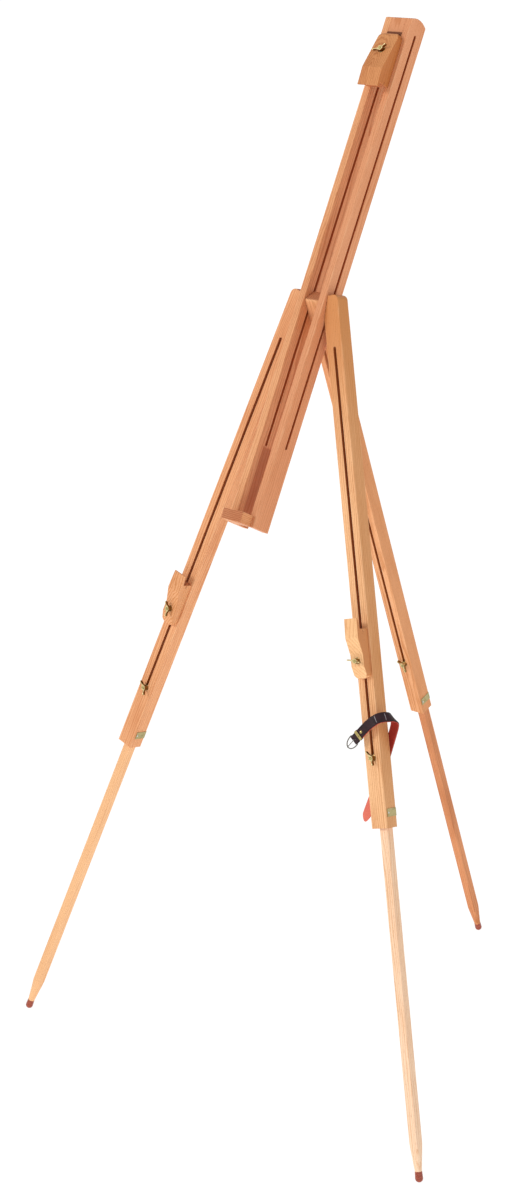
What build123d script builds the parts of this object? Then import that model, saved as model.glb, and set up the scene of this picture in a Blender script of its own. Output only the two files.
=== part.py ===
from build123d import *
import math
import os

os.makedirs("parts", exist_ok=True)

# All lengths are millimetres and all angles are degrees.
# Leg sticks
leg_width = 30.9
rear_leg_width = 28.4
leg_depth = 27.0
leg_above = 16.3
rear_leg_above = 13.5
leg_edge = 1.0
leg_shoulder = 9.5
rear_top_round = 4.0
front_leg_below = 841.0
rear_leg_below = 849.0
splay = 16.9
front_lean = 12.06
kink_below = 25.7

# Groove that the extension slides in, and the slot of its bolt
channel_wall = 9.6
channel_below = 58.0
slot_width = 5.4
slot_below = 69.5

# Extensions and feet
extension_side = 15.0
extension_out = 566.0
extension_top = 14.0
extension_bolt_up = 113.0
extension_edge = 0.6
taper_length = 47.0
taper_end = 11.5
spigot_diameter = 7.0
spigot_length = 10.0
cap_diameter = 13.0
cap_rim = 12.0
cap_length = 17.5

# Metal band round the lower end of each leg
band_height = 13.0
band_up = 18.0
band_thick = 0.8
band_front = 3.2
pin_diameter = 1.4
pin_length = 6.0
pin_head = 3.2
pin_head_thick = 0.6
pin_inset = 2.6

# Mast
mast_lean = 27.4
pivot_play = 0.55
rail_thick = 12.3
rail_depth = 41.0
rail_edge = 0.8
mast_above = 482.0
mast_below = 382.0
mast_crown = 5.9
mast_round = 4.0
mast_slot_end = 20.8
mast_slot_below = 246.0
mast_slot_width = 5.4
top_block_height = 28.5
ledge_width = 41.0
ledge_reach = 27.0
ledge_height = 18.0
ledge_tongue = 7.4

# Canvas clamp on the mast
clamp_width = 41.0
clamp_rest_gap = 1.5
clamp_lip_reach = 26.9
clamp_lip_kink = 28.3
clamp_lip_length = 65.0
clamp_lip_flat = 30.3
clamp_floor = 57.5
clamp_seat = 17.4
clamp_seat_radius = 7.0
clamp_end = 10.5
clamp_tail = 32.0
clamp_tail_round = 8.0
clamp_tongue = 8.0
clamp_tongue_low = 46.0
clamp_corner = 12.0
plate_width = 38.0
plate_height = 40.0
plate_thick = 8.0

# Canvas holders on the front legs
holder_width = 25.4
holder_below = 571.5
holder_lip_reach = 25.5
holder_lip_kink = 27.2
holder_lip_length = 68.0
holder_lip_flat = 31.0
holder_floor = 50.5
holder_seat = 17.8
holder_seat_half = 9.0
holder_end = 10.0
holder_tail = 29.5
holder_tail_round = 5.0
holder_corner = 10.0
holder_key_depth = 6.0
holder_key_length = 44.0

# Shape shared by the holders and the clamp
lip_tip = 1.8
lip_root = 5.8
kerf_width = 2.0
kerf_depth = 5.0
kerf_reach = 12.5
block_edge = 0.8

# Bolts, washers and wing nuts
bolt_diameter = 5.0
bolt_head = 10.0
bolt_head_thick = 2.0
bolt_tail = 1.0
washer_diameter = 11.0
washer_thick = 1.0
nut_height = 6.5
nut_base = 10.0
nut_neck = 8.0
wing_span = 26.0
wing_rise = 10.5
wing_foot = 2.6
wing_low = 5.0
wing_thick = 2.4
wing_round = 2.4
clamp_turn = 26.0
extension_turn = {"left": 48.0, "right": -64.0, "rear": 120.0}
holder_turn = {"left": 65.0, "right": -13.0}

# Pivot bolt with the two small hinges on its ends
pivot_diameter = 5.0
pivot_head = 10.0
pivot_head_thick = 3.0
pivot_nut_sides = 6
friction_washer_diameter = 18.0
friction_washer_thick = 0.4
leaf_thick = 1.2
leaf_width = 16.0
leaf_lug = 8.0
leg_leaf_height = 15.0
knuckle_diameter = 5.2
hinge_pin_diameter = 2.2
knuckle_share = 6.0
leaf_screw_diameter = 2.6
leaf_screw_head = 4.6
leaf_screw_length = 11.0
leaf_screw_spacing = 9.0

# Carrying strap on the right leg
strap_width = 16.0
strap_outer = 1.6
strap_inner = 1.0
strap_tip_width = 3.0
buckle_short = 19.4
buckle_wire = 1.8
prong_radius = 0.6
prong_room = 1.5
keeper_along = 10.0
keeper_width = 4.5
keeper_wall = 0.8
rivet_along = 17.5
rivet_diameter = 5.0
rivet_thick = 1.0
rivet_shank = 2.5
strap_screw_diameter = 2.6
strap_screw_head = 5.5
strap_screw_length = 9.0
strap_screw_head_thick = 1.0
strap_side = 22.1
strap_back = 1.1

# Clearances
slide_gap = 0.05
channel_gap = 0.3
shaft_gap = 0.05
fit_gap = 0.03
face_gap = 0.1
leg_face_gap = 0.8
pocket_gap = 1.0
tongue_gap = 0.4
nut_pass_gap = 4.0
buckle_gap = 0.3

# Places worked out from the sizes above
half_width = leg_width / 2
half_depth = leg_depth / 2
rear_half = rear_leg_width / 2
mast_gap = rear_leg_width + 2 * pivot_play
mast_slot_top = mast_above - mast_slot_end
clamp_up = mast_above - top_block_height - clamp_rest_gap - clamp_tail
rail_inner = mast_gap / 2
rail_outer = rail_inner + rail_thick
rail_front = rail_depth / 2
leg_face = rail_outer + leg_face_gap
cos_splay = math.cos(math.radians(splay))
sin_splay = math.sin(math.radians(splay))
kink_along = (kink_below - half_width * sin_splay) / cos_splay
leg_centre = leg_face + half_width * cos_splay - kink_along * sin_splay
channel_width = extension_side + 2 * channel_gap
channel_front = channel_wall - half_depth
extension_y = channel_front + channel_gap + extension_side / 2
bolt_radius = bolt_diameter / 2
pivot_radius = pivot_diameter / 2
cap_radius = cap_diameter / 2

# Height of the pivot and lean of the rear leg, from feet that all stand on the floor
front_reach = front_leg_below + extension_out - cap_radius
rear_reach = math.hypot(rear_leg_below + extension_out - cap_radius, extension_y)
sin_lean = math.sin(math.radians(front_lean))
cos_lean = math.cos(math.radians(front_lean))
pivot_height = cap_radius + extension_y * sin_lean + front_reach * cos_splay * cos_lean
rear_lean = math.degrees(
    math.acos((pivot_height - cap_radius) / rear_reach) - math.asin(extension_y / rear_reach))
front_foot_y = extension_y * cos_lean - front_reach * cos_splay * sin_lean
rear_foot_y = math.sqrt(rear_reach ** 2 - (pivot_height - cap_radius) ** 2)
depth_shift = -(front_foot_y + rear_foot_y) / 2

pivot_frame = Pos(0, depth_shift, pivot_height)
mast_frame = pivot_frame * Rot(-mast_lean, 0, 0)
rear_frame = pivot_frame * Rot(rear_lean, 0, 0)
fork_frame = pivot_frame * Rot(-front_lean, 0, 0)
splayed = Pos(leg_centre, 0, 0) * Rot(0, -splay, 0)
side_of = {"left": -1, "right": 1}


def write(name, shape):
    export_step(shape, f"parts/{name}.step")


def block(x0, x1, y0, y1, z0, z1):
    return Pos((x0 + x1) / 2, (y0 + y1) / 2, (z0 + z1) / 2) * Box(x1 - x0, y1 - y0, z1 - z0)


def rod(radius, z0, z1):
    return Pos(0, 0, (z0 + z1) / 2) * Cylinder(radius, z1 - z0)


def cross_rod(radius, x0, x1):
    return Rot(0, 90, 0) * rod(radius, x0, x1)


def group(shapes):
    return Compound([solid for shape in shapes for solid in shape.solids()])


# Stand a piece drawn along +Z on a face that looks to the front
def to_front(y, z, shape):
    return Pos(0, y, z) * Rot(90, 0, 0) * shape


# Put a piece of the right half on its side of the fork of front legs
def on_fork(side, shape):
    return fork_frame * (shape if side > 0 else mirror(shape, about=Plane.YZ))


def on_front_leg(side, shape):
    return on_fork(side, splayed * shape)


# Stick of a leg: the front legs have a round outer shoulder, the rear leg a slightly rounded top
def leg_outline(across, above, below):
    return Pos(0, (above - below) / 2) * Rectangle(across, above + below)


def front_stick():
    outline = leg_outline(leg_width, leg_above, front_leg_below)
    shoulder = outline.vertices().sort_by_distance((half_width, leg_above))[0]
    stick = extrude(Plane.XZ * fillet(shoulder, leg_shoulder), half_depth, both=True)
    return fillet(stick.faces().filter_by(Axis.Y).edges(), leg_edge)


def rear_stick():
    outline = leg_outline(leg_depth, rear_leg_above, rear_leg_below)
    top = outline.vertices().sort_by(Axis.Y)[-2:]
    stick = extrude(Plane.YZ * fillet(top, rear_top_round), rear_half, both=True)
    return fillet(stick.faces().filter_by(Axis.X).edges(), leg_edge)


# Upper leg: a stick with a channel open at the back and a slot through its front wall
def upper_leg(stick, below, half):
    channel_half = channel_width / 2
    stick -= block(-channel_half, channel_half, channel_front, leg_depth, -2 * below, -channel_below)
    slot_end = below - extension_bolt_up
    slot = SlotOverall(slot_end - slot_below + slot_width, slot_width, rotation=90)
    slot_middle = -(slot_end + slot_below) / 2
    stick -= to_front(channel_front + slide_gap, slot_middle, extrude(slot, leg_depth))
    for pin in band_pin_pair(below, half, fit_gap):
        stick -= pin
    return stick


# Pins of the metal band, drawn with extra play where they are used as holes
def band_pin_pair(below, half, play):
    pins = []
    for sign in (-1, 1):
        face = half + band_thick
        shank = cross_rod(pin_diameter / 2 + play, face - pin_length, face)
        cap = cross_rod(pin_head / 2, face, face + pin_head_thick)
        place = Pos(0, band_front + pin_inset - half_depth, band_up + band_height / 2 - below)
        pin = place * (shank + cap)
        pins.append(pin if sign > 0 else mirror(pin, about=Plane.YZ))
    return pins


def leg_band(below, half):
    outer = half + band_thick
    back = half_depth + band_thick
    bottom = band_up - below
    front = band_front - half_depth
    band = block(-outer, outer, front, back, bottom, bottom + band_height)
    band = fillet(band.edges().filter_by(Axis.Z).sort_by(Axis.Y)[-2:], leg_edge + band_thick)
    inside = block(-half, half, -leg_depth, half_depth, bottom, bottom + band_height)
    band -= fillet(inside.edges().filter_by(Axis.Z).sort_by(Axis.Y)[-2:], leg_edge)
    for pin in band_pin_pair(below, half, fit_gap):
        band -= pin
    return band


# Extension: a square stick that is turned down to a round end
def extension(below):
    tip = -(below + extension_out)
    shoulder = tip + cap_length
    taper_top = shoulder + taper_length
    top = extension_bolt_up + extension_top - below
    half = extension_side / 2
    stick = block(-half, half, -half, half, shoulder - spigot_length, top)
    stick = fillet(stick.edges().filter_by(Axis.Z), extension_edge)
    full = extension_side
    turned = rod(full, taper_top, top + full)
    turned += Pos(0, 0, (shoulder + taper_top) / 2) * Cone(taper_end / 2, full / math.sqrt(2), taper_length)
    turned += rod(spigot_diameter / 2, shoulder - spigot_length, shoulder)
    stick = Pos(0, extension_y, 0) * (stick & turned)
    hole = rod(bolt_radius + shaft_gap, -leg_depth, leg_depth)
    return stick - to_front(0, extension_bolt_up - below, hole)


# Foot cap: a bullet that widens a little towards its domed end
def foot_cap(below):
    tip = -(below + extension_out)
    rim = tip + cap_length
    dome = tip + cap_radius
    cap = Pos(0, 0, (dome + rim) / 2) * Cone(cap_radius, cap_rim / 2, rim - dome)
    cap += Pos(0, 0, dome) * Sphere(cap_radius)
    cap -= rod(spigot_diameter / 2 + fit_gap, rim - spigot_length - fit_gap, rim + cap_length)
    return Pos(0, extension_y, 0) * cap


# Bolt drawn along +Z from the underside of its head, with a round or a square head
def clamp_bolt_shape(grip, square):
    shank = rod(bolt_radius, 0, grip + washer_thick + nut_height + bolt_tail)
    if square:
        return shank + Pos(0, 0, -bolt_head_thick / 2) * Box(bolt_head, bolt_head, bolt_head_thick)
    return shank + rod(bolt_head / 2, -bolt_head_thick, 0)


def washer():
    hole = rod(bolt_radius + shaft_gap, -washer_diameter, washer_diameter)
    return rod(washer_diameter / 2, 0, washer_thick) - hole


def wing_nut(turn):
    hub = Pos(0, 0, nut_height / 2) * Cone(nut_base / 2, nut_neck / 2, nut_height)
    reach = wing_span / 2
    root = bolt_radius + shaft_gap
    tip = reach - 2 * wing_round
    outline = Polyline((root, wing_foot), (nut_base / 2, wing_foot), (reach, wing_low),
                       (reach, wing_rise), (tip, wing_rise), (root, nut_height), close=True)
    wing = make_face(outline)
    wing = fillet(wing.vertices().group_by(Axis.X)[-1], wing_round / 2)
    wing = extrude(Plane.XZ * wing, wing_thick / 2, both=True)
    nut = hub + wing + Rot(0, 0, 180) * wing
    return Rot(0, 0, turn) * (nut - rod(root, -nut_height, 2 * wing_rise))


# Hooked block, drawn with its bolt at the origin, its back on the plane of X and Z, and its lip on top.
# The front line gives reach and height from the tail to the end of the lip
def hooked_block(width, front_line, floor, tail_round, corner):
    end, bottom = front_line[0]
    reach, lip = front_line[-1]
    notch = [(reach - lip_tip, lip), (reach - lip_root, floor), (0, floor)]
    outline = Polyline((0, bottom), *front_line, *notch, close=True)
    side = make_face(outline)
    side = fillet(side.vertices().sort_by_distance((end, bottom))[0], tail_round)
    outward = Plane(origin=(0, 0, 0), x_dir=(0, -1, 0), z_dir=(-1, 0, 0))
    hook = extrude(outward * side, width / 2, both=True)
    hook = fillet(hook.faces().filter_by(Axis.X).edges(), block_edge)
    front = Pos(0, (lip + bottom) / 2) * Rectangle(width, lip - bottom)
    front = fillet(front.vertices().sort_by(Axis.Y)[:2], corner)
    hook = hook & extrude(Plane.XZ * front, 2 * reach)
    kerf_half = kerf_width / 2
    kerf = block(-width, width, -kerf_half, kerf_half, floor - kerf_depth, lip)
    return hook - Pos(0, -kerf_reach, 0) * kerf


def bolt_hole():
    return rod(bolt_radius + shaft_gap, -leg_width, leg_width)


def canvas_holder():
    front_line = [
        (holder_end, -holder_tail),
        (holder_seat, -holder_seat_half),
        (holder_seat, holder_seat_half),
        (holder_lip_kink, holder_lip_length - holder_lip_flat),
        (holder_lip_reach, holder_lip_length),
    ]
    hook = hooked_block(holder_width, front_line, holder_floor, holder_tail_round, holder_corner)
    key_half = slot_width / 2 - channel_gap
    key_end = holder_key_length / 2
    hook += block(-key_half, key_half, 0, holder_key_depth, -key_end, key_end)
    return hook - to_front(0, 0, bolt_hole())


# The clamp is the same hook upside down, with a sunk seat for its nut and a tongue between the rails
def canvas_clamp():
    front_line = [
        (clamp_end, -clamp_tail),
        (clamp_lip_kink, clamp_lip_length - clamp_lip_flat),
        (clamp_lip_reach, clamp_lip_length),
    ]
    hook = hooked_block(clamp_width, front_line, clamp_floor, clamp_tail_round, clamp_corner)
    hook -= to_front(0, 0, rod(clamp_seat_radius, clamp_seat, clamp_seat + clamp_lip_kink))
    half = rail_inner - tongue_gap
    hook += block(-half, half, 0, clamp_tongue, -clamp_tail, clamp_tongue_low)
    return Rot(0, 180, 0) * (hook - to_front(0, 0, bolt_hole()))


# Mast: two slotted rails, a block between their tops and a ledge across their feet
def rounded_top(width, bottom):
    front, back = (-rail_front, mast_above), (rail_front, mast_above)
    crown = ThreePointArc(back, (0, mast_above + mast_crown), front)
    outline = make_face(crown + Polyline(front, (-rail_front, bottom), (rail_front, bottom), back))
    back_corner = outline.vertices().sort_by_distance(back)[0]
    outline = fillet(back_corner, mast_round)
    return extrude(Plane.YZ * outline, width / 2, both=True)


def mast_rail():
    rail = rounded_top(rail_thick, -mast_below)
    rail = fillet(rail.faces().filter_by(Axis.X).edges(), rail_edge)
    slot = SlotOverall(mast_slot_top + mast_slot_below, mast_slot_width, rotation=90)
    slot = extrude(Plane.YZ * Pos(0, (mast_slot_top - mast_slot_below) / 2) * slot, rail_thick, both=True)
    return Pos((rail_inner + rail_outer) / 2, 0, 0) * (rail - slot)


def mast_ledge():
    half = ledge_width / 2
    top = ledge_height - mast_below
    ledge = block(-half, half, -rail_front - ledge_reach, -rail_front, -mast_below, top)
    ledge = fillet(ledge.edges(), block_edge)
    back = ledge_tongue - rail_front
    return ledge + block(-rail_inner, rail_inner, -rail_front - block_edge, back, -mast_below, top)


# Small hinge on the end of the pivot bolt, drawn on the right side
leaf_inner = rail_outer + face_gap
leaf_outer = leaf_inner + leaf_thick
knuckle_radius = knuckle_diameter / 2
knuckle_x = leaf_inner + knuckle_radius
leg_leaf_outer = knuckle_x + knuckle_radius
leg_leaf_inner = leg_leaf_outer - leaf_thick
head_inner = leaf_outer + slide_gap
head_outer = head_inner + pivot_head_thick
hinge_pin_radius = hinge_pin_diameter / 2
middle_half = knuckle_share / 2
leaf_half = leaf_width / 2


def knuckle(radius, y0, y1):
    return Pos(knuckle_x, 0, -kink_below) * Rot(-90, 0, 0) * rod(radius, y0, y1)


def bolt_leaf():
    leaf = block(leaf_inner, leaf_outer, -leaf_half, leaf_half, -kink_below, 0)
    leaf += cross_rod(leaf_lug, leaf_inner, leaf_outer)
    leaf -= cross_rod(pivot_radius + shaft_gap, 0, leg_face + leg_width)
    leaf += knuckle(knuckle_radius, -leaf_half, leaf_half)
    gap_half = middle_half + face_gap
    room = knuckle_radius + channel_gap
    leaf -= block(0, leg_width * 2, -gap_half, gap_half, -kink_below - room, room - kink_below)
    return leaf - knuckle(hinge_pin_radius + fit_gap, -leg_depth, leg_depth)


def leg_leaf():
    top = leg_leaf_height - kink_below
    leaf = block(leg_leaf_inner, leg_leaf_outer, -leaf_half, leaf_half, -kink_below, top)
    room = knuckle_radius + channel_gap
    for sign in (-1, 1):
        cut = block(0, leg_width * 2, middle_half, leg_depth, -kink_below - room, room - kink_below)
        leaf -= cut if sign > 0 else mirror(cut, about=Plane.XZ)
    leaf += knuckle(knuckle_radius, -middle_half, middle_half)
    for screw in leaf_screws(fit_gap):
        leaf -= screw
    return leaf - knuckle(hinge_pin_radius + shaft_gap, -leg_depth, leg_depth)


def leaf_screws(play):
    screws = []
    for sign in (-1, 1):
        shank = cross_rod(leaf_screw_diameter / 2 + play, leg_leaf_inner, leg_leaf_inner + leaf_screw_length)
        sink = Cone(leaf_screw_head / 2 + play, leaf_screw_diameter / 2 + play, leaf_thick)
        sink = Pos((leg_leaf_inner + leg_leaf_outer) / 2, 0, 0) * Rot(0, 90, 0) * sink
        place = Pos(0, sign * leaf_screw_spacing / 2, leg_leaf_height - leaf_screw_head - kink_below)
        screws.append(place * (shank + sink))
    return screws


# Front leg: its inner top is bevelled to lie along the mast and hollowed for the hinge and the bolt's end
def front_upper_leg():
    leg = splayed * upper_leg(front_stick(), front_leg_below, half_width)
    far = 2 * front_leg_below
    leg -= block(-far, leg_face, -far, far, -far, far)
    side = leaf_half + pocket_gap
    room = knuckle_radius + pocket_gap
    leg -= block(0, leaf_outer + leg_face_gap, -side, side, -kink_below, 0)
    leg -= block(0, leg_leaf_outer, -side, side, -kink_below, leg_leaf_height - kink_below)
    leg -= cross_rod(leaf_lug + pocket_gap, 0, head_outer + bolt_tail + pocket_gap)
    leg -= knuckle(room, -side, side)
    for screw in leaf_screws(fit_gap):
        leg -= screw
    return leg


# Carrying strap: route from the buckle round the leg to the tip. Each row gives a place across the leg, in
# depth and above the leg's lower end, and the way from there to the upper edge of the strap
route_front = -half_depth - washer_thick - wing_rise - nut_pass_gap - rivet_thick - strap_inner
route_side = half_width + strap_side
route_back = half_depth + strap_back
strap_route = [
    ((-half_width - 3.4, route_front, 145.5), (-0.61, 0, 0.79)),
    ((10.2 - half_width, route_front, 155.9), (-0.62, 0, 0.78)),
    ((half_width - 9.0, route_front + 0.4, 164.6), (-0.56, 0, 0.83)),
    ((half_width + 2.1, route_front + 1.6, 171.4), (-0.48, 0, 0.88)),
    ((half_width + 10.5, route_front + 5.4, 175.9), (-0.29, 0, 0.96)),
    ((route_side - 4.6, route_front + 11.0, 177.2), (-0.22, 0, 0.98)),
    ((route_side - 0.3, route_front + 18.0, 176.5), (-0.33, 0, 0.94)),
    ((route_side, route_back - 17.6, 174.9), (-0.54, 0, 0.84)),
    ((route_side - 2.6, route_back - 8.4, 169.4), (-0.79, -0.06, 0.60)),
    ((route_side - 8.6, route_back - 1.6, 160.1), (-0.92, 0.02, 0.37)),
    ((half_width + 2.8, route_back + 0.8, 140.7), (-0.95, 0.02, 0.30)),
    ((half_width - 3.8, route_back, 126.2), (-0.96, 0, 0.29)),
    ((half_width - 7.5, route_back, 118.6), (-0.96, 0, 0.28)),
    ((6.3 - half_width, route_back + 0.2, 85.1), (-0.95, 0, 0.30)),
    ((-half_width - 11.3, route_back + 0.8, 51.7), (-0.95, 0, 0.31)),
    ((-half_width - 29.6, route_back + 1.4, 20.7), (-0.95, 0, 0.31)),
    ((-half_width - 34.8, route_back + 1.6, 9.6), (-0.95, 0, 0.31)),
]
strap_screw_row = 11


def strap_frames():
    frames = []
    places = [Vector(x, y, up - front_leg_below) for (x, y, up), edge in strap_route]
    for index, (_, edge) in enumerate(strap_route):
        along = (places[min(index + 1, len(places) - 1)] - places[max(index - 1, 0)]).normalized()
        across = Vector(*edge).normalized()
        normal = along.cross(across)
        frames.append((places[index], across * (1 / normal.length), normal.normalized()))
    return frames


def strap_layer(low, high):
    sections = []
    frames = strap_frames()
    for index, (place, across, normal) in enumerate(frames):
        width = strap_tip_width if index == len(frames) - 1 else strap_width
        near = place + normal * low
        far = place + normal * high
        edge = across * (width / 2)
        sections.append(make_face(Polyline(near - edge, near + edge, far + edge, far - edge, close=True)))
    layer = loft(sections[:2], ruled=True)
    for index in range(1, len(sections) - 1):
        layer += loft(sections[index:index + 2], ruled=True)
    return layer


strap_start, _, strap_facing = strap_frames()[0]
strap_away = (strap_start - strap_frames()[1][0]).normalized()
strap_end = Plane(origin=strap_start, x_dir=strap_away, z_dir=strap_facing)
strap_middle = (strap_outer - strap_inner) / 2
bar_radius = buckle_wire / 2
buckle_long = strap_width + 2 * (buckle_wire + buckle_gap)
fold_radius = bar_radius + strap_outer
bar_x = fold_radius - bar_radius / 2


def along_bar(radius, half):
    return Pos(bar_x, 0, strap_middle) * Rot(90, 0, 0) * rod(radius, -half, half)


def strap_screw(play):
    place, across, normal = strap_frames()[strap_screw_row]
    shank = rod(strap_screw_diameter / 2 + play, -strap_screw_length, strap_outer)
    cap = rod(strap_screw_head / 2, strap_outer, strap_outer + strap_screw_head_thick)
    return Plane(origin=place, z_dir=normal) * (shank + cap)


def strap_rivet(play):
    shank = rod(rivet_shank / 2 + play, -strap_inner - rivet_thick, strap_outer + rivet_thick)
    cap = rod(rivet_diameter / 2, strap_outer, strap_outer + rivet_thick)
    burr = rod(rivet_diameter / 2, -strap_inner - rivet_thick, -strap_inner)
    return strap_end * Pos(-rivet_along, 0, 0) * (shank + cap + burr)


def prong_slit():
    return strap_end * block(-fold_radius, buckle_short, -prong_room, prong_room, -strap_width, strap_width)


def outer_strap():
    strap = strap_layer(0, strap_outer) + strap_end * along_bar(fold_radius, strap_width / 2)
    strap -= strap_end * along_bar(bar_radius + shaft_gap, strap_width)
    return strap - prong_slit() - strap_screw(fit_gap) - strap_rivet(fit_gap)


def strap_lining():
    lining = strap_layer(-strap_inner, 0) - strap_end * along_bar(fold_radius, strap_width)
    return lining - prong_slit() - strap_screw(fit_gap) - strap_rivet(fit_gap)


def buckle_frame():
    outer = Ellipse(buckle_short - bar_radius, buckle_long / 2)
    inner = Ellipse(buckle_short - bar_radius - buckle_wire, buckle_long / 2 - buckle_wire)
    ring = (outer - inner) & Pos(buckle_short / 2, 0) * Rectangle(buckle_short, buckle_long)
    ring = Pos(bar_x, 0, strap_middle) * extrude(ring, bar_radius, both=True)
    return strap_end * (ring + along_bar(bar_radius, buckle_long / 2 - bar_radius))


def buckle_prong():
    eye = along_bar(fold_radius, prong_room - face_gap)
    rise = strap_middle + 2 * bar_radius + prong_radius / 2
    arm = Pos(bar_x, 0, rise) * Rot(0, 90, 0) * rod(prong_radius, 0, buckle_short - bar_radius)
    return strap_end * (eye + arm - along_bar(bar_radius + shaft_gap, strap_width))


def strap_keeper():
    inside = Box(2 * keeper_width, strap_width + 2 * face_gap, strap_outer + strap_inner + 2 * face_gap)
    wall = 2 * (face_gap + keeper_wall)
    outside = Box(keeper_width, strap_width + wall, strap_outer + strap_inner + wall)
    return strap_end * Pos(-keeper_along, 0, strap_middle) * (outside - inside)


# Write the mast
rail = mast_rail()
write("right_mast_rail", mast_frame * rail)
write("left_mast_rail", mast_frame * mirror(rail, about=Plane.YZ))
write("mast_top_block", mast_frame * rounded_top(mast_gap, mast_above - top_block_height))
write("mast_foot_ledge", mast_frame * mast_ledge())

# Write the canvas clamp with its plate, bolt, washer and wing nut
clamp_front = -rail_front - slide_gap
plate_front = rail_front + slide_gap
plate_back = plate_front + plate_thick
clamp_plate = Pos(0, (plate_front + plate_back) / 2, 0) * Box(plate_width, plate_thick, plate_height)
clamp_plate = fillet(clamp_plate.edges(), block_edge) - to_front(plate_back, 0, bolt_hole())
clamp_grip = plate_back - clamp_front + clamp_seat
clamp_place = mast_frame * Pos(0, 0, clamp_up)
write("canvas_clamp", clamp_place * Pos(0, clamp_front, 0) * canvas_clamp())
write("clamp_back_plate", clamp_place * clamp_plate)
write("clamp_bolt", clamp_place * to_front(plate_back, 0, clamp_bolt_shape(clamp_grip, False)))
seat_y = clamp_front - clamp_seat
write("clamp_washer", clamp_place * to_front(seat_y, 0, washer()))
write("clamp_wing_nut", clamp_place * to_front(seat_y - washer_thick, 0, wing_nut(clamp_turn)))

# Write the pivot
pivot_shank = cross_rod(pivot_radius, -head_outer - bolt_tail, head_inner)
write("pivot_bolt", rear_frame * (pivot_shank + cross_rod(pivot_head / 2, head_inner, head_outer)))
pivot_nut = extrude(RegularPolygon(pivot_head / 2, pivot_nut_sides), pivot_head_thick)
pivot_nut -= rod(pivot_radius + fit_gap, -pivot_head, pivot_head)
write("pivot_nut", rear_frame * Pos(-head_inner, 0, 0) * Rot(0, -90, 0) * pivot_nut)
washer_middle = (rear_half + rail_inner) / 2
disc = cross_rod(friction_washer_diameter / 2, -friction_washer_thick / 2, friction_washer_thick / 2)
disc -= cross_rod(pivot_radius + shaft_gap, -leg_width, leg_width)
discs = [Pos(-washer_middle, 0, 0) * disc, Pos(washer_middle, 0, 0) * disc]
write("friction_washers", mast_frame * group(discs))

# Write what each leg has: stick, extension, foot, bolt, washer, wing nut, band and pins
leg_names = {"left": front_leg_below, "right": front_leg_below, "rear": rear_leg_below}
for leg, below in leg_names.items():
    if leg == "rear":
        half = rear_half
        stick = upper_leg(rear_stick(), below, half)
        stick -= cross_rod(pivot_radius + shaft_gap, -leg_width, leg_width)
        write("rear_upper_leg", rear_frame * stick)
    else:
        half = half_width
        stick = front_upper_leg()
        if leg == "right":
            stick -= splayed * strap_screw(fit_gap)
        write(f"{leg}_upper_leg", on_fork(side_of[leg], stick))
    back = extension_y + extension_side / 2
    bolt_z = extension_bolt_up - below
    grip = half_depth + back
    pieces = {
        "extension": extension(below),
        "foot_cap": foot_cap(below),
        "extension_bolt": to_front(back, bolt_z, clamp_bolt_shape(grip, False)),
        "extension_washer": to_front(-half_depth, bolt_z, washer()),
        "extension_wing_nut": to_front(-half_depth - washer_thick, bolt_z, wing_nut(extension_turn[leg])),
        "leg_band": leg_band(below, half),
        "band_pins": group(band_pin_pair(below, half, 0)),
    }
    for name, shape in pieces.items():
        write(f"{leg}_{name}", rear_frame * shape if leg == "rear" else on_front_leg(side_of[leg], shape))

# Write what each front leg has: the hinge on the pivot and the canvas holder
for leg, side in side_of.items():
    write(f"{leg}_bolt_leaf", on_fork(side, bolt_leaf()))
    write(f"{leg}_leg_leaf", on_fork(side, leg_leaf()))
    write(f"{leg}_hinge_pin", on_fork(side, knuckle(hinge_pin_radius, -leaf_half, leaf_half)))
    write(f"{leg}_leaf_screws", on_fork(side, group(leaf_screws(0))))
    holder_front = -half_depth - slide_gap
    seat_y = holder_front - holder_seat
    grip = channel_front - seat_y
    pieces = {
        "canvas_holder": Pos(0, holder_front, -holder_below) * canvas_holder(),
        "holder_bolt": to_front(channel_front, -holder_below, clamp_bolt_shape(grip, True)),
        "holder_washer": to_front(seat_y, -holder_below, washer()),
        "holder_wing_nut": to_front(seat_y - washer_thick, -holder_below, wing_nut(holder_turn[leg])),
    }
    for name, shape in pieces.items():
        write(f"{leg}_{name}", on_front_leg(side, shape))

# Write the carrying strap
write("carrying_strap", on_front_leg(1, outer_strap()))
write("strap_lining", on_front_leg(1, strap_lining()))
write("strap_screw", on_front_leg(1, strap_screw(0)))
write("strap_rivet", on_front_leg(1, strap_rivet(0)))
write("strap_keeper", on_front_leg(1, strap_keeper()))
write("buckle_frame", on_front_leg(1, buckle_frame()))
write("buckle_prong", on_front_leg(1, buckle_prong()))
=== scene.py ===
import math

import bmesh
import bpy
from mathutils import Matrix, Vector


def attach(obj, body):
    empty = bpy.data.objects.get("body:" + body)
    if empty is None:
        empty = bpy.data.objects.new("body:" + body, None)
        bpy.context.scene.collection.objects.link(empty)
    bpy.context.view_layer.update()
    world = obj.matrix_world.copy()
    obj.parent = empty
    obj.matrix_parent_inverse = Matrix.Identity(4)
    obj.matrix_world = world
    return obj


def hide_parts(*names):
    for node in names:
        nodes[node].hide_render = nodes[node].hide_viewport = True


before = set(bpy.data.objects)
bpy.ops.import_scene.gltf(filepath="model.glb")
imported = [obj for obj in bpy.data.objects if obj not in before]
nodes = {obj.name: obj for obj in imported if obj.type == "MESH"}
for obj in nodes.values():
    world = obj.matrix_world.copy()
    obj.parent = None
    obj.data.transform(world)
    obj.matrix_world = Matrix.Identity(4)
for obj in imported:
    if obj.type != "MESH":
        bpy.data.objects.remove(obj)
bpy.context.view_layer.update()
mm = 0.001

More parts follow.
